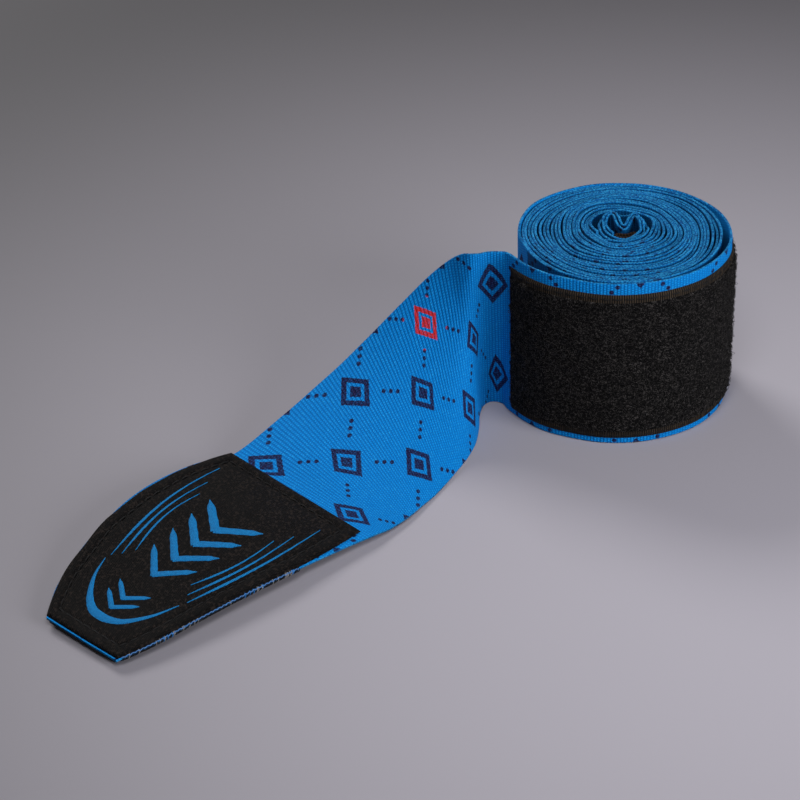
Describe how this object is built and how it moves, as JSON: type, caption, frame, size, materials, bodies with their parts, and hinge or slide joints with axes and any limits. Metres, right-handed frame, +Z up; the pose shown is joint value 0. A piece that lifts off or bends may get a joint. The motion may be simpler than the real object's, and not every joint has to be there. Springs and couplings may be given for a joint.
{
  "type": "hand wrap",
  "caption": "Rolled elastic hand wrap standing on edge, its loose end twisted flat into a tapered closing tab with a woven label above and hook tape below.",
  "frame": {"origin": "on the roll's axis, at the surface the roll stands on", "axes": "+Z up the roll's axis; the loose end and its closing tab lie towards -X; +Y completes the right-handed frame"},
  "size_m": [0.205, 0.0883, 0.0501],
  "materials": {
    "webbing": "ribbed elastic cotton webbing",
    "thumb_tape": "narrow woven tape",
    "tape_backing": "plain woven nylon tape",
    "loop_pile": "brushed loop pile",
    "hooks": "woven hook field",
    "label": "damask woven label",
    "label_yarn": "woven yarn",
    "dark_thread": "twisted sewing thread",
    "overlock_thread": "overlock thread"
  },
  "bodies": {
    "roll": {"webbing_coil": "webbing", "webbing_outer_turn": "webbing", "webbing_core_fold": "webbing", "thumb_loop": "thumb_tape", "thumb_loop_stitching": "dark_thread", "loop_tape": "tape_backing", "loop_pile": "loop_pile", "loop_tape_stitching": "dark_thread"},
    "tail": {"webbing_tail": "webbing"},
    "tab": {"webbing_tab": "webbing", "woven_label": "label", "label_artwork": "label_yarn", "label_stitching": "dark_thread", "hook_tape": "tape_backing", "hook_field": "hooks", "tab_overlock": "overlock_thread"}
  },
  "joints": [
    {"name": "tail_swing", "type": "hinge", "parent": "roll", "child": "tail", "pos_m": [-0.0286, 0.0165, 0], "axis": [0, 0, 1], "range_deg": [-25, 50]},
    {"name": "tab_lift", "type": "hinge", "parent": "tail", "child": "tab", "pos_m": [-0.0976, 0.0289, 0.00385], "axis": [0, 0.9968, 0.0801], "range_deg": [0, 80]}
  ]
}
